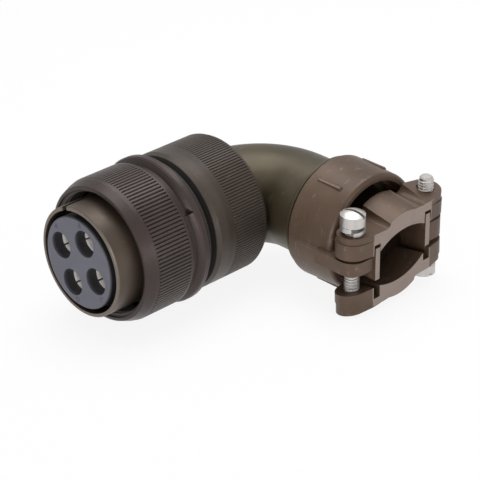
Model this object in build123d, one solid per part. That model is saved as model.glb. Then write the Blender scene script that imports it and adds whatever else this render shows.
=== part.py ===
"""Right-angle plug of the threaded circular kind, with four sockets, an elbow and a cable clamp.

The mating axis runs along +X from the plug's front rim, the cable leaves towards -Y and the clamp
screws stand along +Z. The origin is the centre of the plug barrel's front rim. Millimetres.
"""
from build123d import *
from math import cos, pi, radians, sin, sqrt
import os

os.makedirs("parts", exist_ok=True)

# Fits
RUN = 0.08              # radial gap where the coupling nut turns on the shell
SEAT = 0.1              # gap between pieces that sit in one another
FACE_GAP = 0.2          # end gap beside a turning face
THREAD_GAP = 0.12       # radial gap between the plain bodies of mating threads

# Plug barrel and shell
BARREL_R = 15.05
RIM_WALL = 1.05
BORE_WALL = 1.85
BARREL_BORE_R = BARREL_R - RIM_WALL
INSERT_BORE_R = BARREL_R - BORE_WALL
BARREL_POCKET = 5.0     # depth of the ring-shaped pocket round the insert's nose
STOP_LIP = 1.5          # inner lip that stops the insert from going forwards
RIM_ROUND = 0.3
FLANGE_FRONT = 15.0
FLANGE_THICK = 4.5
SHELL_END = 43.0
KEYWAY_ANGLE = 69.0     # about the mating axis, from +Y towards +Z
KEYWAY_WIDTH = 1.8
KEYWAY_LENGTH = 13.0
KEYWAY_DEPTH = 1.2

# Coupling nut
NUT_FRONT = 6.1
NUT_END = 26.9
THREAD_R = BARREL_R + 2.41   # 1 3/8 - 18 thread of the shell that it mates with
THREAD_DEPTH = 0.75
FLANGE_R = THREAD_R - THREAD_DEPTH - 0.01
NUT_WALL = 2.19
NUT_KNURL_R = THREAD_R + NUT_WALL
NUT_FRONT_R = NUT_KNURL_R - 1.05
NUT_NECK_R = NUT_KNURL_R - 1.1
NUT_NECK_LENGTH = 1.4
NUT_FLANGE_R = NUT_KNURL_R + 0.59
NUT_LIP_ROUND = 0.7
THREAD_PITCH = 1.411
THREAD_LENGTH = 8.0
KNURL_START = 10.0
KNURL_END = 20.0
KNURL_RIBS = 120
KNURL_DEPTH = 0.32
WASHER_THICK = 0.8
MARK_ANGLE = 143.0      # about the mating axis, from +Y towards +Z
MARK_WIDTH = 1.7
MARK_DEPTH = 0.5

# Wire ring and rubber ring behind the coupling nut
WIRE_WIDTH = 0.9
WIRE_DEPTH = 0.7
WIRE_PROUD = 0.8
WIRE_GAP_ANGLE = 24.0
SEAL_R = NUT_KNURL_R - 1.35
SEAL_BORE_R = BARREL_R + WIRE_PROUD + SEAT
SEAL_THICK = 1.3

# Back nut
BACK_FRONT = 28.5
BACK_END = 48.6
BACK_BODY_R = BARREL_R + 4.15
BACK_REAR_R = BACK_BODY_R - 0.7
BACK_NOSE_R = BACK_BODY_R - 0.9
BACK_NOSE_END = 31.5
BACK_KNURL_START = 36.5
BACK_KNURL_END = 47.3
BACK_KNURL_RIBS = 150
BACK_KNURL_DEPTH = 0.22

# Inserts, contacts and grommet
INSERT_FACE = -0.6
INSERT_NOSE_R = INSERT_BORE_R - 0.6
INSERT_SPLIT = 16.0
REAR_INSERT_END = 32.0
GROMMET_END = 37.4
CONTACT_CIRCLE_R = 7.1
CONTACT_FIRST_ANGLE = 22.8
CONTACT_COUNT = 4
HOLE_R = 3.65
HOOD_R = 3.5
HOOD_BORE_R = 2.95
HOOD_DEPTH = 4.0
HOOD_RECESS = 3.2       # from the insert's face to the contact's front end
PIN_BORE_R = 1.84       # takes a 3.6 mm pin
PIN_BORE_DEPTH = 15.0
HOOD_SLOT = 0.45
HOOD_SLOT_ANGLES = (-38.0, -16.0, -36.0, -44.0)
TAIL_R = 2.7
TAIL_END = 40.5
CUP_R = 2.05
CUP_DEPTH = 7.0
SNAP_RING_WIDTH = 1.0
SNAP_RING_DEPTH = 0.6
SNAP_RING_INNER_R = INSERT_BORE_R - 1.1

# Elbow
ELBOW_R = INSERT_BORE_R + 0.2
ELBOW_WALL = 1.9
ELBOW_BORE_R = ELBOW_R - ELBOW_WALL
BEND_R = 16.0
OUTLET_X = 63.9         # distance of the cable axis from the barrel's front rim
SPIGOT_START = 38.9     # the elbow's spigot stands in the shell's rear bore
GASKET_THICK = 0.6
CATCH_RING_WIDTH = 2.5  # open ring in the elbow's groove that the back nut pulls on
CATCH_RING_R = ELBOW_R + 1.0
CATCH_GROOVE_R = ELBOW_R - 0.9
INLET_SHOULDER_R = ELBOW_R + 1.6
INLET_SHOULDER_THICK = 1.2
OUTLET_THREAD_R = ELBOW_R + 1.65
SHOULDER_R = OUTLET_THREAD_R + 0.95
SHOULDER_START = 25.7
SHOULDER_THICK = 1.0
OUTLET_END = 36.0

# Clamp body
COLLAR_R = OUTLET_THREAD_R + 1.75
COLLAR_TAPER = 0.5
COLLAR_FRONT_R = COLLAR_R - COLLAR_TAPER
COLLAR_START = 27.2
COLLAR_END = 42.0
COLLAR_MOUTH_R = COLLAR_R - 2.4
COLLAR_SHOULDER_R = OUTLET_THREAD_R - 1.85
COLLAR_SHOULDER_THICK = 2.0
COLLAR_REAR_ROUND = 0.8
COLLAR_FRONT_ROUND = 1.2
RIB_COUNT = 6
RIB_START = 3.0
RIB_LENGTH = 8.0
RIB_WIDTH = 1.2
RIB_HEIGHT = 0.45
RIB_BEVEL = 0.35
SCREW_SPREAD = COLLAR_R - 2.9   # from the cable axis to each screw
SCREW_Y = COLLAR_END + 5.6
EAR_R = 4.1
EAR_LEVELS = {-1: (-3.1, 0.6), 1: (-3.0, 2.4)}
WEB_INNER = SCREW_SPREAD - 5.2  # from the cable axis to a web's inner face
WEB_THICK = 1.6
WEB_LEVELS = {-1: (-6.0, 3.2), 1: (-3.3, 6.0)}

# Saddles, in the frame of one that lies level with its crest up
SADDLE_BACK = COLLAR_END + 0.6
SADDLE_FRONT = SADDLE_BACK + 9.8
LUG_R = 4.3
CLEAR_LUG = (0.95, 7.0)  # lowest and highest level of the lug under a screw head
TAPPED_LUG = (3.8, 9.25)
TAPPED_SLOPE = 0.05     # the tapped lug's top climbs by this much per mm outwards
LUG_STEP = 0.25         # the lugs' upper tier is slimmer by this much
LUG_TIERS = (5.2, 7.9)
CLEAR_FLAT_END = -4.8   # the clear lug's flat runs in under the crest to here
CREASE_ROUND = 1.3
VALLEY = (7.6, 9.3)     # bottom of the hollow between the crest and the tapped lug
VALLEY_R = 2.4
CREST_TOP = (1.4, 9.7)  # crown of the outer arc on the front face
CREST_R = 13.2
CREST_CENTRE = (CREST_TOP[0], CREST_TOP[1] - CREST_R)
ARCH_TOP = (2.0, 5.2)   # crown of the inner arc
ARCH_R = 16.5
ARCH_CENTRE = (ARCH_TOP[0], ARCH_TOP[1] - ARCH_R)
SADDLE_RISE = 0.18      # each saddle's crest and tapped lug climb by this much per mm backwards
TAPPED_MOUTH_R = 2.8    # countersink at the tapped hole's outer end
TAPPED_MOUTH_DEPTH = 0.8
SLOT_GAP = 0.35
SLOT_TOPS = (3.9, 7.2)
LOWER_DROP = 3.8        # how far the lower saddle hangs below the upper one's mirror place
SADDLE_TILT = 2.0       # each saddle hangs askew by the play of its screw thread

# Screws and lock washers
SCREW_R = 1.75
SCREW_LENGTH = 25.4
HEAD_R = 3.3
HEAD_HEIGHT = 3.9
HEAD_DOME = 1.0
DRIVE_SLOT = 0.9
DRIVE_SLOT_DEPTH = 1.7
DRIVE_SLOT_ANGLE = -79.0
LOCK_WASHER_R = 3.25
LOCK_WASHER_BORE_R = 2.15
LOCK_WASHER_THICK = 1.2
FREE_RISE = 1.1         # how far the uncompressed lock washer's ends stand apart
WASHER_SPLIT_ANGLE = -133.0
CLEAR_HOLE_R = 2.15
TAPPED_HOLE_R = SCREW_R + 0.14


def turned(points):
    """Solid of revolution about the mating axis from (x, radius) points."""
    face = make_face(Polyline(*points, close=True))
    return revolve(face, Axis.X, 360)


def turned_on_outlet(points):
    """Solid of revolution about the cable axis from (radius, distance along -Y) points."""
    face = make_face(Polyline(*[(OUTLET_X + r, -y) for r, y in points], close=True))
    return revolve(face, Axis((OUTLET_X, 0, 0), (0, -1, 0)), 360)


def ring_x(outer_r, inner_r, start, end):
    return turned([(start, inner_r), (start, outer_r), (end, outer_r), (end, inner_r)])


def rod_x(radius, start, end, y=0.0, z=0.0):
    rod = Cylinder(radius, end - start, align=(Align.CENTER, Align.CENTER, Align.MIN))
    return Pos(start, y, z) * Rot(0, 90, 0) * rod


def rod_z(radius, low, high, x, y):
    rod = Cylinder(radius, high - low, align=(Align.CENTER, Align.CENTER, Align.MIN))
    return Pos(x, y, low) * rod


def block(x_range, y_range, z_range):
    size = [high - low for low, high in (x_range, y_range, z_range)]
    middle = [(high + low) / 2 for low, high in (x_range, y_range, z_range)]
    return Pos(*middle) * Box(*size)


def knurl_cutter(radius, start, end, ribs, depth):
    """Straight V grooves round the mating axis, one cutter solid for each groove."""
    half = pi * radius / ribs * 0.72
    groove = make_face(Polyline((radius + 0.1, -half), (radius + 0.1, half), (radius - depth, 0), close=True))
    bar = extrude(Plane.YZ * groove, end - start)
    return [Rot(360 * i / ribs, 0, 0) * Pos(start, 0, 0) * bar for i in range(ribs)]


def plug_shell():
    """Turned shell: barrel, keyway, carrying flange, wire groove, stop lip and bore for the inserts."""
    groove_start = NUT_END + FACE_GAP
    groove_end = groove_start + WIRE_WIDTH + SEAT
    groove_r = BARREL_R - WIRE_DEPTH
    snap_start = GROMMET_END + SEAT
    snap_end = snap_start + SNAP_RING_WIDTH + SEAT
    snap_r = INSERT_BORE_R + SNAP_RING_DEPTH
    lip_r = INSERT_NOSE_R + SEAT
    lip_end = BARREL_POCKET + STOP_LIP
    shell = turned([
        (0, BARREL_BORE_R), (0, BARREL_R - RIM_ROUND), (RIM_ROUND, BARREL_R),
        (FLANGE_FRONT, BARREL_R), (FLANGE_FRONT, FLANGE_R),
        (FLANGE_FRONT + FLANGE_THICK, FLANGE_R), (FLANGE_FRONT + FLANGE_THICK, BARREL_R),
        (groove_start, BARREL_R), (groove_start, groove_r), (groove_end, groove_r), (groove_end, BARREL_R),
        (SHELL_END, BARREL_R), (SHELL_END, INSERT_BORE_R),
        (snap_end, INSERT_BORE_R), (snap_end, snap_r), (snap_start, snap_r), (snap_start, INSERT_BORE_R),
        (lip_end, INSERT_BORE_R), (lip_end, lip_r), (BARREL_POCKET, lip_r), (BARREL_POCKET, BARREL_BORE_R),
    ])
    keyway = block((-1, KEYWAY_LENGTH), (BARREL_R - KEYWAY_DEPTH, BARREL_R + 1), (-KEYWAY_WIDTH / 2, KEYWAY_WIDTH / 2))
    return shell - Rot(KEYWAY_ANGLE, 0, 0) * keyway


def coupling_nut():
    """Knurled coupling nut with its inner thread ridges and the lip that pulls on the shell's flange."""
    minor_r = THREAD_R - THREAD_DEPTH
    neck_start = KNURL_END + 1.9
    neck_end = neck_start + NUT_NECK_LENGTH
    lip_start = FLANGE_FRONT + FLANGE_THICK + WASHER_THICK + 2 * FACE_GAP
    outline = [
        (NUT_FRONT, THREAD_R), (NUT_FRONT, NUT_FRONT_R - NUT_LIP_ROUND),
        (NUT_FRONT + 0.2, NUT_FRONT_R - 0.2), (NUT_FRONT + NUT_LIP_ROUND, NUT_FRONT_R),
        (KNURL_START - 1.4, NUT_KNURL_R - 0.35), (KNURL_START, NUT_KNURL_R), (neck_start - 0.9, NUT_KNURL_R),
        (neck_start, NUT_NECK_R + 0.1), (neck_end, NUT_NECK_R), (neck_end + 0.9, NUT_FLANGE_R - 0.3),
        (neck_end + 1.4, NUT_FLANGE_R), (NUT_END - NUT_LIP_ROUND, NUT_FLANGE_R), (NUT_END, NUT_FLANGE_R - 0.6),
        (NUT_END, BARREL_R + RUN), (lip_start, BARREL_R + RUN), (lip_start, THREAD_R),
    ]
    nut = turned(outline)
    ridge_count = int(THREAD_LENGTH / THREAD_PITCH)
    for i in range(ridge_count):
        start = NUT_FRONT + 0.5 + i * THREAD_PITCH
        crest = (start + 0.4 * THREAD_PITCH, start + 0.55 * THREAD_PITCH)
        nut += turned([(start, THREAD_R + 0.1), (crest[0], minor_r), (crest[1], minor_r),
                       (start + 0.95 * THREAD_PITCH, THREAD_R + 0.1)])
    nut -= turning_mark()
    return nut - knurl_cutter(NUT_KNURL_R, KNURL_START - 0.4, KNURL_END + 0.3, KNURL_RIBS, KNURL_DEPTH)


def turning_mark():
    """Small triangular pocket in front of the coupling nut's rear flange."""
    neck_end = KNURL_END + 1.9 + NUT_NECK_LENGTH
    tip, half = neck_end + 0.3, MARK_WIDTH / 2
    face = make_face(Polyline((neck_end - 1.1, -half), (neck_end + 1.1, -half), (tip, half), close=True))
    pocket = extrude(Plane(origin=(0, NUT_NECK_R - MARK_DEPTH, 0), x_dir=(1, 0, 0), z_dir=(0, 1, 0)) * face, 4)
    return Rot(MARK_ANGLE, 0, 0) * pocket


def thrust_washer():
    """Flat washer between the shell's flange and the coupling nut's lip."""
    start = FLANGE_FRONT + FLANGE_THICK + FACE_GAP / 2
    return ring_x(FLANGE_R - SEAT, BARREL_R + SEAT, start, start + WASHER_THICK)


def nut_retaining_ring():
    """Open wire ring that sprang into the shell's groove behind the coupling nut."""
    start = NUT_END + FACE_GAP + SEAT / 2
    ring = ring_x(BARREL_R + WIRE_PROUD, BARREL_R - WIRE_DEPTH + SEAT / 2, start, start + WIRE_WIDTH)
    half = BARREL_R * sin(radians(WIRE_GAP_ANGLE / 2))
    return ring - block((start - 1, start + 3), (-half, half), (0, BARREL_R + 3))


def shell_seal():
    """Black rubber ring in the gap between the coupling nut and the back nut."""
    return ring_x(SEAL_R, SEAL_BORE_R, BACK_FRONT - SEAL_THICK, BACK_FRONT)


def back_nut():
    """Back nut that pulls the elbow's catch ring against the shell's rear end."""
    lip_start = SHELL_END + GASKET_THICK + CATCH_RING_WIDTH + 3 * SEAT
    nut = turned([
        (BACK_FRONT, BARREL_R + THREAD_GAP), (BACK_FRONT, BACK_NOSE_R - 0.5), (BACK_FRONT + 0.8, BACK_NOSE_R),
        (BACK_NOSE_END, BACK_BODY_R), (BACK_KNURL_END, BACK_BODY_R), (BACK_END - 0.3, BACK_REAR_R + 0.2),
        (BACK_END, BACK_REAR_R - 0.2), (BACK_END, ELBOW_R + SEAT), (lip_start, ELBOW_R + SEAT),
        (lip_start, BARREL_R + THREAD_GAP),
    ])
    return nut - knurl_cutter(BACK_BODY_R, BACK_KNURL_START, BACK_KNURL_END + 0.2, BACK_KNURL_RIBS, BACK_KNURL_DEPTH)


def contact_places():
    """(y, z) of each contact, going round from the first angle."""
    step = 360 / CONTACT_COUNT
    angles = [radians(CONTACT_FIRST_ANGLE + step * i) for i in range(CONTACT_COUNT)]
    return [(CONTACT_CIRCLE_R * cos(a), CONTACT_CIRCLE_R * sin(a)) for a in angles]


def front_insert():
    """Hard moulded insert with a slimmer nose and a stepped hole for each contact."""
    insert = turned([
        (INSERT_FACE, 0), (INSERT_FACE, INSERT_NOSE_R - 0.3), (INSERT_FACE + 0.3, INSERT_NOSE_R),
        (BARREL_POCKET + STOP_LIP + SEAT, INSERT_NOSE_R), (BARREL_POCKET + STOP_LIP + SEAT, INSERT_BORE_R - SEAT),
        (INSERT_SPLIT, INSERT_BORE_R - SEAT), (INSERT_SPLIT, 0),
    ])
    for y, z in contact_places():
        insert -= rod_x(HOLE_R, INSERT_FACE - 1, INSERT_SPLIT + 1, y, z)
    return insert


def rear_insert():
    """Second insert that traps the contacts' shoulders."""
    insert = ring_x(INSERT_BORE_R - SEAT, 0, INSERT_SPLIT, REAR_INSERT_END)
    for y, z in contact_places():
        insert -= rod_x(TAIL_R + SEAT, INSERT_SPLIT - 1, REAR_INSERT_END + 1, y, z)
    return insert


def grommet():
    """Soft rubber grommet that the contacts' tails pass through."""
    disc = ring_x(INSERT_BORE_R - SEAT, 0, REAR_INSERT_END, GROMMET_END)
    for y, z in contact_places():
        disc -= rod_x(TAIL_R + SEAT, REAR_INSERT_END - 1, GROMMET_END + 1, y, z)
    return disc


def insert_retaining_ring():
    """Open snap ring that holds the inserts and grommet in the shell."""
    start = GROMMET_END + SEAT * 1.5
    outer = INSERT_BORE_R + SNAP_RING_DEPTH - SEAT / 2
    ring = ring_x(outer, SNAP_RING_INNER_R, start, start + SNAP_RING_WIDTH)
    half = outer * sin(radians(WIRE_GAP_ANGLE / 2))
    return ring - block((start - 1, start + 3), (-half, half), (-outer - 1, 0))


def socket_contact(y, z, slot_angle):
    """Machined socket: hood with one slot, pin bore, shoulder, tail and solder cup."""
    front = INSERT_FACE + HOOD_RECESS
    contact = turned([
        (front, HOOD_BORE_R + 0.15), (front, HOOD_R), (INSERT_SPLIT - SEAT, HOOD_R),
        (INSERT_SPLIT - SEAT, TAIL_R), (TAIL_END, TAIL_R), (TAIL_END, CUP_R),
        (TAIL_END - CUP_DEPTH, CUP_R), (TAIL_END - CUP_DEPTH - CUP_R / 2, 0),
        (front + HOOD_DEPTH + PIN_BORE_DEPTH + PIN_BORE_R / 2, 0), (front + HOOD_DEPTH + PIN_BORE_DEPTH, PIN_BORE_R),
        (front + HOOD_DEPTH, PIN_BORE_R), (front + HOOD_DEPTH, HOOD_BORE_R),
        (front + 0.3, HOOD_BORE_R),
    ])
    slot = block((front - 1, front + HOOD_DEPTH - 0.5), (0, HOOD_R + 1), (-HOOD_SLOT / 2, HOOD_SLOT / 2))
    return Pos(0, y, z) * (contact - Rot(slot_angle, 0, 0) * slot)


def elbow_gasket():
    """Flat gasket between the shell's rear end and the elbow's catch ring."""
    return ring_x(BARREL_R - SEAT, INSERT_BORE_R, SHELL_END, SHELL_END + GASKET_THICK)


def catch_ring():
    """Open ring that sprang into the elbow's groove once the back nut was on."""
    start = SHELL_END + GASKET_THICK + SEAT
    ring = ring_x(CATCH_RING_R, CATCH_GROOVE_R + SEAT, start, start + CATCH_RING_WIDTH)
    half = CATCH_RING_R * sin(radians(WIRE_GAP_ANGLE / 4))
    return ring - block((start - 1, start + CATCH_RING_WIDTH + 1), (-half, half), (0, CATCH_RING_R + 1))


def bent_rod(radius, start, end):
    """Solid rod along the mating axis from start, round the bend and along the cable axis to end."""
    bend_start = OUTLET_X - BEND_R
    circle = Plane(origin=(bend_start, 0, 0), z_dir=(1, 0, 0)) * Circle(radius)
    bend = revolve(circle, Axis((bend_start, -BEND_R, 0), (0, 0, -1)), 90)
    outlet = turned_on_outlet([(0, BEND_R), (radius, BEND_R), (radius, end), (0, end)])
    return rod_x(radius, start, bend_start) + bend + outlet


def elbow():
    """Cast right-angle elbow: spigot, catch groove, bent tube, two shoulders and outlet thread body."""
    groove_start = SHELL_END + GASKET_THICK
    groove_end = groove_start + CATCH_RING_WIDTH + 2 * SEAT
    shoulder_start = BACK_END + FACE_GAP
    inlet = (rod_x(INSERT_BORE_R - SEAT, SPIGOT_START, groove_start)
             + rod_x(CATCH_GROOVE_R, SPIGOT_START, groove_end)
             + rod_x(INLET_SHOULDER_R, shoulder_start, shoulder_start + INLET_SHOULDER_THICK))
    outlet = turned_on_outlet([
        (0, SHOULDER_START), (SHOULDER_R - 0.3, SHOULDER_START), (SHOULDER_R, SHOULDER_START + 0.4),
        (SHOULDER_R, SHOULDER_START + SHOULDER_THICK), (OUTLET_THREAD_R, SHOULDER_START + SHOULDER_THICK),
        (OUTLET_THREAD_R, OUTLET_END), (0, OUTLET_END),
    ])
    tube = bent_rod(ELBOW_R, groove_end, OUTLET_END)
    return inlet + tube + outlet - bent_rod(ELBOW_BORE_R, SPIGOT_START - 1, OUTLET_END + 1)


def collar():
    """Turned part of the clamp body: tapered, with a threaded bore, inner shoulder and open mouth."""
    thread_end = OUTLET_END + FACE_GAP
    shoulder_end = thread_end + COLLAR_SHOULDER_THICK
    bore_r = OUTLET_THREAD_R + THREAD_GAP
    ring = turned_on_outlet([
        (bore_r, COLLAR_START), (COLLAR_R, COLLAR_START), (COLLAR_FRONT_R, COLLAR_END),
        (COLLAR_MOUTH_R, COLLAR_END), (COLLAR_MOUTH_R, shoulder_end), (COLLAR_SHOULDER_R, shoulder_end),
        (COLLAR_SHOULDER_R, thread_end), (bore_r, thread_end),
    ])
    for end, rim_r, rounding in ((COLLAR_START, COLLAR_R, COLLAR_REAR_ROUND),
                                 (COLLAR_END, COLLAR_FRONT_R, COLLAR_FRONT_ROUND)):
        rim = [e for e in ring.edges().filter_by(GeomType.CIRCLE)
               if abs(e.radius - rim_r) < 0.01 and abs(e.center().Y + end) < 0.01]
        ring = fillet(rim, rounding)
    return ring


def ear(side):
    """Ear for one screw with the guide web along its inner side, about the cable axis."""
    low, high = EAR_LEVELS[side]
    web_low, web_high = WEB_LEVELS[side]
    root_y = OUTLET_END + FACE_GAP + COLLAR_SHOULDER_THICK
    screw_x = side * SCREW_SPREAD
    outer = block(sorted((side * WEB_INNER, screw_x + side * EAR_R)), (-SCREW_Y, -root_y), (low, high))
    inner = block(sorted((side * WEB_INNER, screw_x)), (-SCREW_Y - EAR_R, -SCREW_Y), (low, high))
    web = block(sorted((side * WEB_INNER, side * (WEB_INNER + WEB_THICK))), (-SADDLE_FRONT, -root_y),
                (web_low, web_high))
    plate = outer + inner + web + rod_z(EAR_R, low, high, screw_x, -SCREW_Y)
    return plate - rod_z(CLEAR_HOLE_R, low - 1, high + 1, screw_x, -SCREW_Y)


def clamp_body():
    """Cast clamp body: collar with raised ribs, and an ear with a guide web on each side."""
    body = Pos(OUTLET_X, 0, 0) * (ear(-1) + ear(1)) + collar()
    rib_end = -COLLAR_START - RIB_START
    rib = block((-RIB_WIDTH / 2, RIB_WIDTH / 2), (rib_end - RIB_LENGTH, rib_end),
                (COLLAR_R - COLLAR_TAPER - 0.5, COLLAR_R + RIB_HEIGHT - COLLAR_TAPER / 2))
    rib = chamfer(rib.faces().sort_by(Axis.Z)[-1].edges(), RIB_BEVEL)
    for i in range(RIB_COUNT):
        body += Pos(OUTLET_X, 0, 0) * Rot(0, 360 * (i + 0.5) / RIB_COUNT, 0) * rib
    return body


def rising(profile):
    """Extrude a profile of the saddle's front face backwards, climbing as it goes."""
    depth = SADDLE_FRONT - SADDLE_BACK
    way = Vector(0, depth, depth * SADDLE_RISE)
    face = Plane(origin=(0, -SADDLE_FRONT, 0), x_dir=(1, 0, 0), z_dir=(0, -1, 0)) * profile
    return extrude(face, way.length, dir=way)


def lug_plan(radius):
    """Upright block of the saddle's plan, with lugs of this radius round the screws."""
    shoulder = WEB_INNER + WEB_THICK + SLOT_GAP
    middle_y = -(SADDLE_FRONT + SADDLE_BACK) / 2
    plan = (Pos(0, middle_y) * Rectangle(2 * shoulder, SADDLE_FRONT - SADDLE_BACK)).edges()
    for side in (-1, 1):
        plan += (Pos(side * SCREW_SPREAD, -SCREW_Y) * Circle(radius)).edges()
    return extrude(make_hull(plan), 2 * CREST_R)


def saddle_blank():
    """One saddle about its own cable axis, tapped lug on the +X side, before its holes are drilled."""
    reach = SCREW_SPREAD + LUG_R + 1
    low = CLEAR_LUG[0]
    whole_y = (-SADDLE_FRONT - 1, -SADDLE_BACK + 1)
    crest_left = CREST_CENTRE[0] - sqrt(CREST_R ** 2 - (low - CREST_CENTRE[1]) ** 2)
    crest_right = CREST_CENTRE[0] + sqrt(CREST_R ** 2 - (TAPPED_LUG[1] - CREST_CENTRE[1]) ** 2)
    crest = make_face([
        ThreePointArc((crest_left, low), CREST_TOP, (crest_right, TAPPED_LUG[1])),
        Polyline((crest_right, TAPPED_LUG[1]), (reach, TAPPED_LUG[1] + TAPPED_SLOPE * (reach - crest_right)),
                 (reach, TAPPED_LUG[0]), (WEB_INNER - SLOT_GAP, TAPPED_LUG[0]), (WEB_INNER - SLOT_GAP, low),
                 (crest_left, low)),
    ])
    flat = block((-reach - 1, CLEAR_FLAT_END), whole_y, (CLEAR_LUG[1], CREST_R))
    flat = fillet(flat.edges().filter_by(Axis.Y).group_by(Axis.Z)[0].sort_by(Axis.X)[-1], CREASE_ROUND)
    valley = rod_z(VALLEY_R, whole_y[0], whole_y[1], 0, 0).rotate(Axis.X, -90)
    lug = block((-reach, CLEAR_FLAT_END), (-SADDLE_FRONT, -SADDLE_BACK), CLEAR_LUG)

    outline = lug_plan(LUG_R - LUG_STEP)
    for side, tier in zip((-1, 1), LUG_TIERS):
        half = sorted((0, side * reach))
        outline += lug_plan(LUG_R) & block(half, whole_y, (0, tier))
    saddle = (rising(crest) + lug) & outline
    saddle -= flat
    saddle -= Pos(VALLEY[0], 0, VALLEY[1] + VALLEY_R) * valley
    saddle -= rising(Pos(*ARCH_CENTRE) * Circle(ARCH_R))
    for side, bottom, top in ((-1, CLEAR_LUG[0], SLOT_TOPS[0]), (1, TAPPED_LUG[0], SLOT_TOPS[1])):
        walls = sorted((side * (WEB_INNER - SLOT_GAP), side * (WEB_INNER + WEB_THICK + SLOT_GAP)))
        saddle -= block(walls, whole_y, (bottom - 1, top))
    return saddle


def tapped_levels():
    """Lowest and highest level of the tapped lug where the screw goes through it."""
    climb = SADDLE_RISE * (SADDLE_FRONT - SCREW_Y)
    return TAPPED_LUG[0] + climb, TAPPED_LUG[1] + climb + TAPPED_SLOPE * (SCREW_SPREAD - CREST_CENTRE[0])


def saddle():
    """Finished saddle: clear hole in its left lug, countersunk tapped hole in its right lug."""
    top = tapped_levels()[1]
    mouth = Cone(TAPPED_HOLE_R, TAPPED_MOUTH_R, TAPPED_MOUTH_DEPTH, align=(Align.CENTER, Align.CENTER, Align.MAX))
    return (saddle_blank() - rod_z(CLEAR_HOLE_R, -CREST_R, CREST_R, -SCREW_SPREAD, -SCREW_Y)
            - rod_z(TAPPED_HOLE_R, -CREST_R, CREST_R, SCREW_SPREAD, -SCREW_Y)
            - Pos(SCREW_SPREAD, -SCREW_Y, top + 0.2) * mouth)


def saddle_x():
    """Where a skewed saddle's own axis lies, so that its tapped lug is centred on the screw."""
    return OUTLET_X - sum(tapped_levels()) / 2 * sin(radians(SADDLE_TILT))


def upper_saddle():
    return Pos(saddle_x(), 0, 0) * Rot(0, SADDLE_TILT, 0) * saddle()


def lower_saddle():
    """The same saddle turned over, so that its tapped lug takes the left screw."""
    return Pos(saddle_x(), 0, -LOWER_DROP) * Rot(0, 180 - SADDLE_TILT, 0) * saddle()


def clamp_screw():
    """Slotted fillister screw, head up, with its bearing face at zero."""
    shank = rod_z(SCREW_R, -SCREW_LENGTH, 0, 0, 0)
    shank = chamfer(shank.edges().filter_by(GeomType.CIRCLE).sort_by(Axis.Z)[0], 0.35)
    dome_r = (HEAD_R ** 2 + HEAD_DOME ** 2) / (2 * HEAD_DOME)
    head = rod_z(HEAD_R, 0, HEAD_HEIGHT, 0, 0) & (Pos(0, 0, HEAD_HEIGHT - dome_r) * Sphere(dome_r))
    head -= block((-HEAD_R - 1, HEAD_R + 1), (-DRIVE_SLOT / 2, DRIVE_SLOT / 2),
                  (HEAD_HEIGHT - DRIVE_SLOT_DEPTH, HEAD_HEIGHT + 1))
    return shank + head


def lock_washer(rise):
    """Split spring washer lying on zero, with its cut ends standing apart by the given rise."""
    middle = (LOCK_WASHER_R + LOCK_WASHER_BORE_R) / 2
    width = LOCK_WASHER_R - LOCK_WASHER_BORE_R
    turn = 350
    path = Helix(pitch=rise * 360 / turn, height=rise, radius=middle)
    wire = Plane(origin=(middle, 0, LOCK_WASHER_THICK / 2), x_dir=(1, 0, 0), z_dir=(0, 1, 0))
    section = wire * Rectangle(width, LOCK_WASHER_THICK)
    return sweep(section, path=Pos(0, 0, LOCK_WASHER_THICK / 2) * path, is_frenet=True)


def main():
    pieces = {
        "plug_shell": plug_shell(),
        "coupling_nut": coupling_nut(),
        "thrust_washer": thrust_washer(),
        "nut_retaining_ring": nut_retaining_ring(),
        "shell_seal": shell_seal(),
        "back_nut": back_nut(),
        "front_insert": front_insert(),
        "rear_insert": rear_insert(),
        "grommet": grommet(),
        "insert_retaining_ring": insert_retaining_ring(),
        "elbow_gasket": elbow_gasket(),
        "catch_ring": catch_ring(),
        "elbow": elbow(),
        "clamp_body": clamp_body(),
        "upper_saddle": upper_saddle(),
        "lower_saddle": lower_saddle(),
    }
    for letter, (y, z), angle in zip("abcd", contact_places(), HOOD_SLOT_ANGLES):
        pieces["socket_contact_" + letter] = socket_contact(y, z, angle)

    skew = radians(SADDLE_TILT)
    lug_face = CLEAR_LUG[1] + SCREW_SPREAD * sin(skew) + LOCK_WASHER_R * sin(skew) + SEAT / 2
    left = Pos(OUTLET_X - SCREW_SPREAD, -SCREW_Y, lug_face)
    lower_face = -LOWER_DROP - lug_face + 2 * SCREW_SPREAD * sin(skew)
    right = Pos(OUTLET_X + SCREW_SPREAD, -SCREW_Y, lower_face) * Rot(180, 0, 0)
    for name, place, rise in (("left", left, FREE_RISE), ("right", right, 0.05)):
        height = LOCK_WASHER_THICK + rise + SEAT / 2
        pieces["lock_washer_" + name] = place * Rot(0, 0, WASHER_SPLIT_ANGLE) * lock_washer(rise)
        pieces["clamp_screw_" + name] = place * Pos(0, 0, height) * Rot(0, 0, DRIVE_SLOT_ANGLE) * clamp_screw()

    for name, piece in pieces.items():
        export_step(piece, f"parts/{name}.step")


main()
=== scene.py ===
"""Looks of the right-angle circular connector plug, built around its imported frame."""
import math

import bmesh
import bpy
from mathutils import Matrix, Vector


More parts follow.
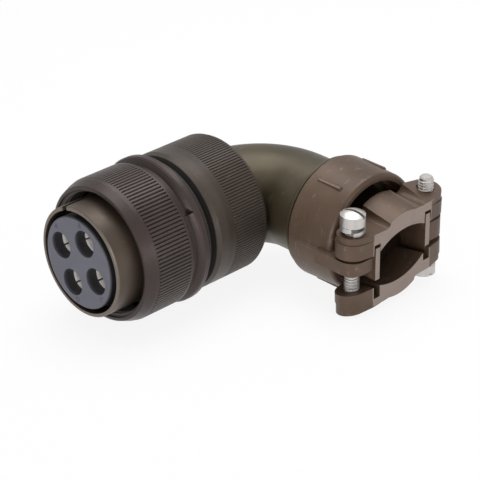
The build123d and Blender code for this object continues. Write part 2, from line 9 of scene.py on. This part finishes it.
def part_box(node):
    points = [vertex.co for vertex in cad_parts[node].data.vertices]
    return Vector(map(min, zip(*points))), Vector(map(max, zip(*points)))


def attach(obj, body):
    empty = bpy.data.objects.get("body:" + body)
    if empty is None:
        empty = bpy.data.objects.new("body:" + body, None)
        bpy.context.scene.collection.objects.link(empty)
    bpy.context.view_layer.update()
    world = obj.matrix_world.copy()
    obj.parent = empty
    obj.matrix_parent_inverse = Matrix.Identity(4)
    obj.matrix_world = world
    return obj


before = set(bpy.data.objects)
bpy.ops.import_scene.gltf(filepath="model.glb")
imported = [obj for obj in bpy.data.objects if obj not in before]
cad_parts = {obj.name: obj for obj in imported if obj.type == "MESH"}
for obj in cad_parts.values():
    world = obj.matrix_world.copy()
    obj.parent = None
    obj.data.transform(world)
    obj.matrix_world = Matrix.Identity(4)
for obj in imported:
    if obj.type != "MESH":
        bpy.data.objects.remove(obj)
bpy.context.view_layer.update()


# Plug shell and elbow. The shell is turned from aluminium and plated a satin brown-olive. The elbow
# is cast in aluminium and plated a satin olive drab, and the back nut holds it to the shell's rear.

class Value:
    """A number socket that adds Math nodes when Python's operators are used on it."""

    def __init__(self, graph, socket):
        self.graph, self.socket = graph, socket

    def _math(self, operation, first, second=None):
        inputs = {0: first} if second is None else {0: first, 1: second}
        return self.graph.add("ShaderNodeMath", {"operation": operation}, inputs)

    def __add__(self, other): return self._math("ADD", self, other)
    def __radd__(self, other): return self._math("ADD", other, self)
    def __sub__(self, other): return self._math("SUBTRACT", self, other)
    def __rsub__(self, other): return self._math("SUBTRACT", other, self)
    def __mul__(self, other): return self._math("MULTIPLY", self, other)
    def __rmul__(self, other): return self._math("MULTIPLY", other, self)
    def __pow__(self, other): return self._math("POWER", self, other)
    def __gt__(self, other): return self._math("GREATER_THAN", self, other)
    def __lt__(self, other): return self._math("LESS_THAN", self, other)
    def __abs__(self): return self._math("ABSOLUTE", self)


class Graph:
    """A new material, or the world it is given, with its node tree."""

    def __init__(self, name, world=None):
        self.material = world or bpy.data.materials.new(name)
        self.material.use_nodes = True
        self.nodes = self.material.node_tree.nodes
        self.links = self.material.node_tree.links
        self.surface = self.nodes["Background" if world else "Principled BSDF"]

    def add(self, kind, settings=None, inputs=None, output=0):
        node = self.nodes.new(kind)
        for key, value in (settings or {}).items():
            setattr(node, key, value)
        for key, value in (inputs or {}).items():
            self.feed(node.inputs[key], value)
        return Value(self, node.outputs[output])

    def feed(self, socket, value):
        if isinstance(value, Value):
            self.links.new(value.socket, socket)
        elif isinstance(value, tuple) and socket.type == "RGBA":
            socket.default_value = (*value, 1)
        else:
            socket.default_value = value

    def set(self, **sockets):
        for key, value in sockets.items():
            self.feed(self.surface.inputs[key.replace("_", " ")], value)

    def place(self):
        return self.add("ShaderNodeTexCoord", output="Object")

    def noise(self, scale, detail=2.0, roughness=0.5, stretch=None):
        place = self.place()
        if stretch:
            place = self.add("ShaderNodeMapping", inputs={"Vector": place, "Scale": stretch})
        return self.add("ShaderNodeTexNoise", inputs={
            "Vector": place, "Scale": scale, "Detail": detail, "Roughness": roughness})

    def blend(self, mask, first, second):
        return self.add("ShaderNodeMix", {"data_type": "RGBA"},
                        {0: mask, 6: first, 7: second}, output=2)

    def split(self):
        """x, y and z of the point on the piece."""
        node = self.nodes.new("ShaderNodeSeparateXYZ")
        self.feed(node.inputs[0], self.place())
        return [Value(self, socket) for socket in node.outputs]

    def along_and_round(self):
        """The point's place along the mating axis, and its distance from that axis."""
        x, y, z = self.split()
        return x, (y * y + z * z) ** 0.5

    def fade(self, value, start, end):
        """0 at start, 1 at end."""
        return self.add("ShaderNodeMapRange", inputs={
            "Value": value, "From Min": start, "From Max": end})

    def relief(self, height, distance):
        self.set(Normal=self.add("ShaderNodeBump", inputs={
            "Height": height, "Distance": distance, "Strength": 1.0}))


CLOUD_SCALE = 55.0       # the scales of the noises are per metre
GRAIN_SCALE = 1400.0
RUB_SCALE = 240.0
RUB_STRETCH = (1.0, 2.5, 1.0)
RUB_SHARE = 0.5
COAT = 0.15
PAINTED_SHADE_SHARE = 0.15        # what is left of the dark colour where shade is painted


def plated(name, dark, plain, light, roughness, metal, grain_depth=0.00004,
           wear=0.62, paler=None, darker=None):
    """Plated aluminium: cloudy colour, pale rubs, a fine grain, worn places and painted highlights,
    and painted shade.
    """
    graph = Graph(name)
    cloud = graph.noise(CLOUD_SCALE, 3.0, 0.55)
    grain = graph.noise(GRAIN_SCALE, 3.0, 0.6)
    rubs = graph.noise(RUB_SCALE, 5.0, 0.7, stretch=RUB_STRETCH)
    colour = graph.blend(graph.fade(cloud, 0.35, 0.65), dark, plain)
    colour = graph.blend(RUB_SHARE * graph.fade(rubs, wear, wear + 0.12), colour, light)
    if paler:
        colour = graph.blend(paler(graph) * (0.35 + rubs), colour, light)
    painted_shade = 0.0
    # The darker masks are painted shade: they take the colour towards a little of the dark colour.
    if darker:
        painted_shade = darker(graph)
        colour = graph.blend(painted_shade, colour, tuple(PAINTED_SHADE_SHARE * part for part in dark))
    graph.set(Base_Color=colour, Metallic=metal, Specular_IOR_Level=0.3,
              Coat_Weight=COAT * (1.0 - painted_shade), Coat_Roughness=0.3,
              Roughness=roughness + 0.4 * painted_shade + 0.14 * (cloud - 0.5) + 0.16 * (grain - 0.5))
    graph.relief(grain, grain_depth)
    return graph.material


def dress(material, *nodes):
    """Gives the objects of some CAD nodes one material."""
    for node in nodes:
        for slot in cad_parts[node].material_slots:
            slot.link = "OBJECT"
            slot.material = material


RIM_RUB = (0.0004, 0.0001)       # along the mating axis, where a tone starts and is whole
POCKET_SHADE = (0.0006, 0.0020)
POCKET_R = 0.01405


def rim_edge(graph):
    """The barrel's thin front edge, where the plating is rubbed by the receptacle."""
    return 0.7 * graph.fade(graph.split()[0], *RIM_RUB)


def barrel_pocket(graph):
    """The shaded pocket between the barrel and the insert's nose."""
    x, radius = graph.along_and_round()
    return graph.fade(x, *POCKET_SHADE) * (radius < POCKET_R)


dress(plated("satin brown-olive plating", (0.058, 0.042, 0.031), (0.086, 0.064, 0.048),
             (0.20, 0.165, 0.135), roughness=0.42, metal=0.45, paler=rim_edge,
             darker=barrel_pocket), "plug_shell")
dress(plated("satin olive drab plating", (0.050, 0.039, 0.021), (0.075, 0.059, 0.034),
             (0.22, 0.19, 0.15), roughness=0.46, metal=0.5, grain_depth=0.00002), "elbow")


# Coupling nut. A turned aluminium nut with a straight knurl, plated dark brown-grey. It turns on
# the shell and draws the plug onto its receptacle with the thread inside its front.

NUT_KNURL = {"crest": 0.01965, "depth": 0.00032, "start": 0.0097, "end": 0.0203}
GROOVES = (0.35, 0.95)           # parts of a knurl's depth, where a mask starts and is whole
CRESTS = (0.2, 0.0)
# From the mating axis, where the painted highlight on the thread's crests starts and is whole.
COUPLING_CREST = (0.0172, 0.0169)
COUPLING_END = 0.0150


def knurl_mask(graph, knurl, depths, share):
    """Mask of a knurl's grooves or of its rubbed crests."""
    x, radius = graph.along_and_round()
    start, whole = (knurl["crest"] - part * knurl["depth"] for part in depths)
    return share * graph.fade(radius, start, whole) * (x > knurl["start"]) * (x < knurl["end"])


def nut_grooves(graph):
    """The shaded grooves of the coupling nut's knurl."""
    return knurl_mask(graph, NUT_KNURL, GROOVES, 0.6)


def nut_rubs_and_thread_highlight(graph):
    """The knurl's rubbed crests, and a painted highlight on the crests of the thread inside the
    nut's front.
    """
    x, radius = graph.along_and_round()
    thread = graph.fade(radius, *COUPLING_CREST) * (x < COUPLING_END)
    return knurl_mask(graph, NUT_KNURL, CRESTS, 0.2) + 1.3 * thread


dress(plated("dark brown-grey plating", (0.035, 0.024, 0.021), (0.052, 0.036, 0.032),
             (0.13, 0.115, 0.105), roughness=0.44, metal=0.4, paler=nut_rubs_and_thread_highlight,
             darker=nut_grooves), "coupling_nut")


# Back nut. A turned aluminium nut with a finer straight knurl behind a tapered nose, plated dark
# olive-brown. It screws onto the shell's rear and draws the elbow against it.

BACK_KNURL = {"crest": 0.0192, "depth": 0.00022, "start": 0.0365, "end": 0.0475}
NOSE_SHADE = (0.0303, 0.0300)    # along the mating axis, where a tone starts and is whole
# Where the painted highlight on the nose starts and is whole.
NOSE_HIGHLIGHT = (0.0348, 0.0338)


def back_nut_shade(graph):
    """The knurl's shaded grooves, and painted shade on the nose, where it lies in the gap behind
    the coupling nut.
    """
    nose = graph.fade(graph.split()[0], *NOSE_SHADE)
    return knurl_mask(graph, BACK_KNURL, GROOVES, 0.35) + 0.95 * nose


def back_nut_rubs_and_highlight(graph):
    """The knurl's rubbed crests, and a painted highlight on the nose in front of the nut's plain
    body.
    """
    nose = graph.fade(graph.split()[0], *NOSE_HIGHLIGHT)
    return knurl_mask(graph, BACK_KNURL, CRESTS, 0.2) + 0.18 * nose


dress(plated("dark olive-brown plating", (0.034, 0.024, 0.019), (0.051, 0.037, 0.029),
             (0.13, 0.11, 0.088), roughness=0.52, metal=0.3, paler=back_nut_rubs_and_highlight,
             darker=back_nut_shade), "back_nut")


# Rings, washers and rubber. The thrust washer is flat steel, the open rings are bent from spring
# steel, and the seal, the grommet and the gasket are moulded in black rubber. Each lies in its
# groove or between two turned pieces.

dress(plated("dull spring steel", (0.20, 0.19, 0.18), (0.30, 0.29, 0.28), (0.45, 0.44, 0.42),
             roughness=0.4, metal=0.9, grain_depth=0.00001),
      "thrust_washer", "nut_retaining_ring", "insert_retaining_ring", "catch_ring")

rubber = Graph("black moulded rubber")
rubber_grain = rubber.noise(900.0, 2.0)
rubber.set(Base_Color=rubber.blend(rubber_grain, (0.010, 0.010, 0.010), (0.022, 0.021, 0.020)),
           Roughness=0.62 + 0.1 * rubber_grain)
rubber.relief(rubber_grain, 0.00003)
dress(rubber.material, "shell_seal", "grommet", "elbow_gasket")


# Inserts. Two hard discs moulded in slate blue-grey plastic, that hold the contacts apart in the
# shell. They stand against the shell's inner lip, and the front one has a letter at each hole.

INSERT_FACE = -0.0006
FIRST_HOLE = math.radians(22.8)      # about the mating axis, from +Y towards +Z
HOLE_STEP = 0.0071 * math.sqrt(0.5)  # from the middle to a hole, along each diagonal
HOLE_R = 0.00372
# Painted shade: the walls of the holes and the insert's side, which lie in shade, are darkened
# towards the shade colour.
HOLE_SHADE = (-0.0005, 0.0004)       # along the mating axis
SIDE_SHADE = (0.01225, 0.01245)      # from the mating axis
SHADE_COLOUR = (0.008, 0.006, 0.006)

insert_plastic = Graph("slate blue-grey moulded insert")
insert_speck = insert_plastic.noise(1100.0, 2.0)
insert_colour = insert_plastic.blend(insert_plastic.noise(140.0, 4.0),
                                     (0.078, 0.078, 0.102), (0.117, 0.115, 0.146))
x, y, z = insert_plastic.split()
square_turn = FIRST_HOLE - math.radians(45)
across = abs(y * math.cos(square_turn) + z * math.sin(square_turn)) - HOLE_STEP
along = abs(z * math.cos(square_turn) - y * math.sin(square_turn)) - HOLE_STEP
in_hole = (across * across + along * along) ** 0.5 < HOLE_R
in_hole = in_hole * insert_plastic.fade(x, *HOLE_SHADE)
on_side = insert_plastic.fade((y * y + z * z) ** 0.5, *SIDE_SHADE)
shade = 0.85 * in_hole + 0.9 * on_side
insert_plastic.set(Base_Color=insert_plastic.blend(shade, insert_colour, SHADE_COLOUR),
                   Roughness=0.5 + 0.15 * (insert_speck - 0.5))
insert_plastic.relief(insert_speck, 0.00003)
dress(insert_plastic.material, "front_insert", "rear_insert")

LETTER_HEIGHT = 0.0015
FONT_SIZE = 1.4 * LETTER_HEIGHT
LETTER_RELIEF = 0.00003
LETTER_CIRCLE = 0.0112
LETTER_ANGLES = {"A": 43, "B": 96, "C": 221, "D": 276}   # measured as the first hole's angle
UPRIGHT = Matrix(((0, 0, -1), (-1, 0, 0), (0, 1, 0))).to_4x4()

letter_ink = Graph("dark violet position letters")
letter_speck = letter_ink.noise(900.0, 3.0)
letter_ink.set(Base_Color=letter_ink.blend(letter_speck, (0.030, 0.024, 0.045),
                                           (0.055, 0.045, 0.080)),
               Roughness=0.5 + 0.1 * letter_speck)
letters = bmesh.new()
for letter, angle in LETTER_ANGLES.items():
    line = bpy.data.curves.new("letter", "FONT")
    line.body, line.size, line.extrude = letter, FONT_SIZE, LETTER_RELIEF
    line.align_x, line.align_y = "CENTER", "CENTER"
    letter_mesh = bpy.data.meshes.new_from_object(bpy.data.objects.new("letter", line))
    turn = math.radians(angle)
    spot = Vector((INSERT_FACE, LETTER_CIRCLE * math.cos(turn), LETTER_CIRCLE * math.sin(turn)))
    letter_mesh.transform(Matrix.Translation(spot) @ UPRIGHT)
    letters.from_mesh(letter_mesh)
letters_mesh = bpy.data.meshes.new("position_letters")
letters.to_mesh(letters_mesh)
letters.free()
letters_mesh.materials.append(letter_ink.material)
position_letters = bpy.data.objects.new("position_letters", letters_mesh)
bpy.context.collection.objects.link(position_letters)
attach(position_letters, "shell_body")


# Socket contacts. Four tubes machined from copper alloy and silver plated, each with a slotted hood
# in front and a solder cup behind. Their shoulders are trapped between the two inserts.

contact_silver = Graph("silver plated contact")
drawn = contact_silver.noise(500.0, 3.0, stretch=(0.15, 1.0, 1.0))
contact_silver.set(Base_Color=contact_silver.blend(drawn, (0.80, 0.74, 0.70), (0.92, 0.90, 0.88)),
                   Metallic=0.35, Roughness=0.3 + 0.15 * drawn)
dress(contact_silver.material, *("socket_contact_" + letter for letter in "abcd"))


# Clamp body and saddles. Cast in aluminium and plated a satin brown, with paler front faces where
# they were milled. The body screws onto the elbow's outlet, and the saddles slide on its webs.

OUTLET_X = 0.0639
RIB_HIGHLIGHT = (0.01690, 0.01705)         # from the outlet's axis
RIB_END_Y = -0.0400
EAR_HALF = 0.004
MILLED_FACE = (-0.05233, -0.05238)   # along the outlet's axis


def milled_ends(graph):
    """The saddles' and webs' front faces, cut back to paler metal, and a painted highlight on the
    collar's ribs.
    """
    x, y, z = graph.split()
    from_outlet = ((x - OUTLET_X) ** 2 + z * z) ** 0.5
    ribs = graph.fade(from_outlet, *RIB_HIGHLIGHT) * (abs(z) > EAR_HALF) * (y > RIB_END_Y)
    return 1.2 * graph.fade(y, *MILLED_FACE) + 0.8 * ribs


dress(plated("satin brown plating", (0.079, 0.047, 0.030), (0.115, 0.074, 0.049),
             (0.26, 0.205, 0.175), roughness=0.5, metal=0.3, wear=0.58, paler=milled_ends),
      "clamp_body", "upper_saddle", "lower_saddle")


# Clamp screws and lock washers. Two slotted fillister screws of bright plated steel, which go in
# from opposite sides and draw the saddles together, each with a split washer under its head.

bright_steel = Graph("bright plated steel")
brushed = bright_steel.noise(700.0, 3.0, stretch=(1.0, 1.0, 0.2))
bright_steel.set(Base_Color=bright_steel.blend(brushed, (0.43, 0.405, 0.385),
                                               (0.62, 0.595, 0.575)),
                 Metallic=0.9, Roughness=0.31 + 0.16 * brushed)
dress(bright_steel.material,
      "clamp_screw_left", "clamp_screw_right", "lock_washer_left", "lock_washer_right")

SCREW_LENGTH = 0.0254
SCREW_PITCH = 0.00079375     # 8 - 32 thread
SCREW_ROOT_R = 0.0017
SCREW_CREST_R = 0.00204
ROOT_HALF, CREST_HALF = 0.42, 0.06   # parts of the pitch, on each side of the ridge's middle
TIP_CHAMFER = 0.0004
HEAD_RUNOUT = 0.0003
TURN_STEPS = 24


def screw_thread(name, screw, body, tip_up):
    """One helical ridge along the whole shank of a clamp screw."""
    low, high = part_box(screw)
    middle_x, middle_y = (low[0] + high[0]) / 2, (low[1] + high[1]) / 2
    shank = SCREW_LENGTH - HEAD_RUNOUT - TIP_CHAMFER
    start = high[2] - TIP_CHAMFER - shank if tip_up else low[2] + TIP_CHAMFER
    corners = [(SCREW_ROOT_R, -ROOT_HALF), (SCREW_CREST_R, -CREST_HALF),
               (SCREW_CREST_R, CREST_HALF), (SCREW_ROOT_R, ROOT_HALF)]
    form = bmesh.new()
    profile = form.faces.new([
        form.verts.new((middle_x + radius, middle_y, start + (part + 0.5) * SCREW_PITCH))
        for radius, part in corners])
    turns = int(shank / SCREW_PITCH) - 1
    bmesh.ops.spin(form, geom=[profile, *profile.edges, *profile.verts],
                   cent=(middle_x, middle_y, 0), axis=(0, 0, 1),
                   dvec=(0, 0, SCREW_PITCH / TURN_STEPS), angle=math.tau * turns,
                   steps=turns * TURN_STEPS)
    bmesh.ops.recalc_face_normals(form, faces=form.faces)
    mesh = bpy.data.meshes.new(name)
    form.to_mesh(mesh)
    form.free()
    mesh.materials.append(bright_steel.material)
    thread = bpy.data.objects.new(name, mesh)
    bpy.context.collection.objects.link(thread)
    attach(thread, body)


screw_thread("left_screw_thread", "clamp_screw_left", "left_screw_body", tip_up=False)
screw_thread("right_screw_thread", "clamp_screw_right", "right_screw_body", tip_up=True)


# Floor, light and camera. A sheet of white paper lies under the plug and touches its two lowest
# places, as on a table. Three softboxes and a white room light it, and the lens is a long one.

LOWEST_NUT = Vector((0.0255, 0.0, -0.02026))
LOWEST_CLAMP = Vector((0.0778, -0.0476, -0.0156))
FLOOR_SLOPE = math.atan2(LOWEST_CLAMP.z - LOWEST_NUT.z, LOWEST_NUT.y - LOWEST_CLAMP.y)
FLOOR_SIZE = 3.0

floor_mesh = bpy.data.meshes.new("floor")
floor_form = bmesh.new()
bmesh.ops.create_grid(floor_form, x_segments=1, y_segments=1, size=FLOOR_SIZE)
bmesh.ops.rotate(floor_form, verts=floor_form.verts, matrix=Matrix.Rotation(-FLOOR_SLOPE, 3, "X"))
bmesh.ops.translate(floor_form, verts=floor_form.verts, vec=LOWEST_NUT)
floor_form.to_mesh(floor_mesh)
floor_form.free()
floor = bpy.data.objects.new("floor", floor_mesh)
bpy.context.collection.objects.link(floor)


def show_white(graph, output, share, glossy_share):
    """Lets the camera, and partly glossy rays, see plain white instead of the lit surface."""
    camera_ray, transmission_ray, glossy_ray = (
        graph.add("ShaderNodeLightPath", output=name)
        for name in ("Is Camera Ray", "Is Transmission Ray", "Is Glossy Ray"))
    seen = share * (camera_ray + transmission_ray) + glossy_share * glossy_ray
    white = graph.add("ShaderNodeEmission", inputs={"Color": (1, 1, 1), "Strength": 1.0})
    lit = Value(graph, graph.surface.outputs[0])
    mixed = graph.add("ShaderNodeMixShader", inputs={0: seen, 1: lit, 2: white})
    graph.links.new(mixed.socket, graph.nodes[output].inputs["Surface"])


paper = Graph("white paper")
paper.set(Base_Color=(0.94, 0.94, 0.94), Roughness=0.9)
show_white(paper, "Material Output", share=0.88, glossy_share=1.0)
floor_mesh.materials.append(paper.material)

bpy.context.scene.world = bpy.data.worlds.new("studio")
sky = Graph("studio", world=bpy.context.scene.world)
sky.set(Color=(1, 1, 1), Strength=0.40)
show_white(sky, "World Output", share=1.0, glossy_share=0.55)

PLUG_MIDDLE = Vector((0.036, -0.022, 0.0))


def softbox(name, place, size, power):
    """An area light that points at the middle of the plug."""
    lamp = bpy.data.lights.new(name, "AREA")
    lamp.shape, lamp.energy = "RECTANGLE", power
    lamp.size, lamp.size_y = size
    box = bpy.data.objects.new(name, lamp)
    box.location = place
    box.rotation_euler = (PLUG_MIDDLE - Vector(place)).to_track_quat("-Z", "Y").to_euler()
    bpy.context.collection.objects.link(box)


softbox("top softbox", (0.17, 0.09, 0.55), (0.5, 0.5), 2.7)
softbox("left softbox", (-0.42, -0.22, 0.05), (0.3, 0.2), 1.1)
softbox("right softbox", (0.05, -0.45, 0.015), (0.3, 0.2), 0.7)

CAMERA_PLACE = (-0.267684, -0.339487, 0.239511)
CAMERA_AZIMUTH, CAMERA_ELEVATION, CAMERA_ROLL = map(math.radians, (-43.649, 28.494, -0.78))
SENSOR_WIDTH = 36.0          # millimetres, like the lens
FOCAL_LENGTH = 145.49

level_share = math.cos(CAMERA_ELEVATION)
backwards = Vector((math.sin(CAMERA_AZIMUTH) * level_share,
                    -math.cos(CAMERA_AZIMUTH) * level_share, math.sin(CAMERA_ELEVATION)))
level_right = Vector((0, 0, 1)).cross(backwards).normalized()
level_up = backwards.cross(level_right)
right = math.cos(CAMERA_ROLL) * level_right + math.sin(CAMERA_ROLL) * level_up
up = math.cos(CAMERA_ROLL) * level_up - math.sin(CAMERA_ROLL) * level_right
turned = Matrix((right, up, backwards)).transposed().to_4x4()
lens = bpy.data.cameras.new("camera")
lens.sensor_width = SENSOR_WIDTH
lens.lens = FOCAL_LENGTH
camera = bpy.data.objects.new("camera", lens)
camera.matrix_world = Matrix.Translation(CAMERA_PLACE) @ turned
bpy.context.collection.objects.link(camera)
bpy.context.scene.camera = camera
bpy.context.scene.view_settings.view_transform = "Standard"
